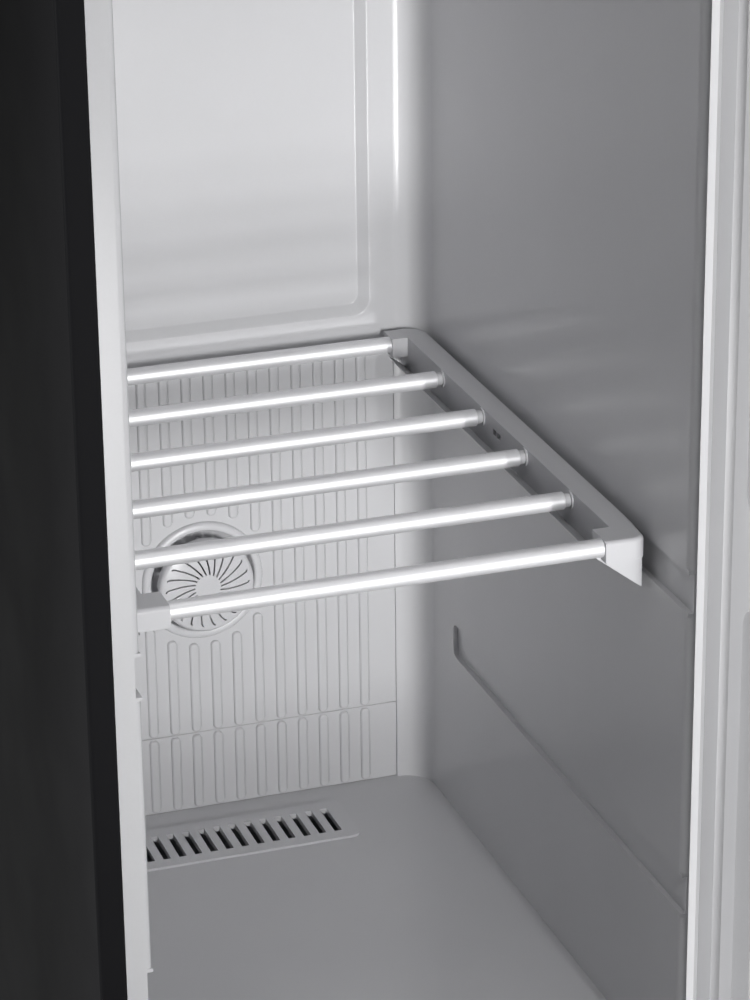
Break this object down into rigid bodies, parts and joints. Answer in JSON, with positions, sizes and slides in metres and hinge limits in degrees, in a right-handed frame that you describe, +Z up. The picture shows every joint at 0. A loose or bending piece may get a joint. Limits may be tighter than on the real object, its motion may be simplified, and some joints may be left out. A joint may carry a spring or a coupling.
{
  "type": "clothes steam cabinet",
  "caption": "Tall black-cased clothes steam cabinet, hinged door open: pale liner, rod shelf in side grooves, ribbed back with round steam outlet, shaker bar, water tanks, heat pump.",
  "frame": {"origin": "on the ground, in the middle of the footprint of the cabinet with its door open at a right angle", "axes": "+Z up; the cabinet's mouth faces -Y; +X is to the right of someone who faces it, where the door is hinged"},
  "size_m": [0.4545, 1.019, 1.85],
  "materials": {
    "casing_paint": "satin",
    "galvanised_steel": "satin",
    "plated_steel": "satin",
    "screw_steel": "polished",
    "liner_plastic": "satin",
    "trim_plastic": "satin",
    "bracket_plastic": "satin",
    "rod_coating": "gloss",
    "door_plastic": "satin",
    "seal_rubber": "matt",
    "foam": "matt",
    "bush_plastic": "satin",
    "panel_glass": "polished",
    "dark_plastic": "matt",
    "black_plastic": "matt",
    "foot_rubber": "matt",
    "duct_plastic": "matt",
    "fin_aluminium": "satin",
    "cast_aluminium": "matt",
    "motor_steel": "satin",
    "compressor_paint": "gloss",
    "copper": "satin",
    "steam_tube": "satin",
    "guide_steel": "polished",
    "hanger_steel": "satin",
    "crank_plastic": "satin",
    "lamp_diffuser": "satin",
    "clear_plastic": "polished",
    "smoke_plastic": "polished",
    "filter_plastic": "matt",
    "circuit_board": "satin"
  },
  "bodies": {
    "cabinet": {"left_side_panel": "casing_paint", "right_side_panel": "casing_paint", "top_panel": "casing_paint", "rear_cover": "galvanised_steel", "base_tray": "galvanised_steel", "front_crossbar": "galvanised_steel", "kick_plate": "black_plastic", "levelling_feet": "black_plastic", "inner_liner": "liner_plastic", "insulation_boards": "foam", "ribbed_back_panel": "liner_plastic", "lower_back_panel": "liner_plastic", "outlet_ring": "trim_plastic", "outlet_cap": "trim_plastic", "steam_nozzle": "dark_plastic", "steam_pipe": "steam_tube", "floor_grille": "trim_plastic", "lamp_lens": "lamp_diffuser", "hanger_housing": "trim_plastic", "slide_rods": "guide_steel", "hanger_motor": "motor_steel", "tank_bay": "dark_plastic", "bay_fascia": "trim_plastic", "air_duct": "duct_plastic", "evaporator": "fin_aluminium", "condenser": "fin_aluminium", "fan_housing": "dark_plastic", "fan_motor": "motor_steel", "steam_generator": "cast_aluminium", "generator_lid": "dark_plastic", "compressor": "compressor_paint", "compressor_grommets": "foot_rubber", "refrigerant_pipes": "copper", "drain_pump": "dark_plastic", "control_box": "trim_plastic", "control_board": "circuit_board", "cord_gland": "black_plastic", "upper_hinge": "plated_steel", "lower_hinge": "plated_steel", "hinge_cover": "black_plastic", "hinge_screws": "screw_steel", "rear_screws": "screw_steel"},
    "door": {"door_outer_panel": "casing_paint", "door_liner": "door_plastic", "door_seal": "seal_rubber", "door_foam": "foam", "door_end_caps": "trim_plastic", "door_bushes": "bush_plastic", "touch_panel": "panel_glass"},
    "shelf": {"shelf_bracket_left": "bracket_plastic", "shelf_bracket_right": "bracket_plastic", "shelf_rods": "rod_coating"},
    "supply_tank_drawer": {"supply_tank": "clear_plastic", "supply_tank_lid": "trim_plastic"},
    "drain_tank_drawer": {"drain_tank": "smoke_plastic", "drain_tank_lid": "trim_plastic"},
    "filter": {"lint_filter": "filter_plastic"},
    "fan": {"fan_wheel": "dark_plastic"},
    "hanger": {"hanger_carriage": "hanger_steel"},
    "crank": {"crank_disc": "crank_plastic"}
  },
  "joints": [
    {"name": "door_hinge", "type": "hinge", "parent": "cabinet", "child": "door", "pos_m": [0.2035, -0.0825, 0.9], "axis": [0, 0, 1], "range_deg": [-90, 12]},
    {"name": "shelf_slide", "type": "slide", "parent": "cabinet", "child": "shelf", "axis": [0, -1, 0], "range_m": [0, 0.07]},
    {"name": "supply_tank_slide", "type": "slide", "parent": "cabinet", "child": "supply_tank_drawer", "axis": [0, -1, 0], "range_m": [0, 0.24]},
    {"name": "drain_tank_slide", "type": "slide", "parent": "cabinet", "child": "drain_tank_drawer", "axis": [0, -1, 0], "range_m": [0, 0.24]},
    {"name": "lint_filter_lift", "type": "slide", "parent": "cabinet", "child": "filter", "axis": [0, 0, 1], "range_m": [0, 0.15]},
    {"name": "fan_spin", "type": "hinge", "parent": "cabinet", "child": "fan", "pos_m": [0, 0.3405, 0.35], "axis": [0, 0, 1], "continuous": true},
    {"name": "hanger_slide", "type": "slide", "parent": "cabinet", "child": "hanger", "axis": [1, 0, 0], "range_m": [-0.012, 0.012]},
    {"name": "crank_spin", "type": "hinge", "parent": "cabinet", "child": "crank", "pos_m": [0, 0.203, 1.75], "axis": [0, 0, 1], "continuous": true}
  ]
}
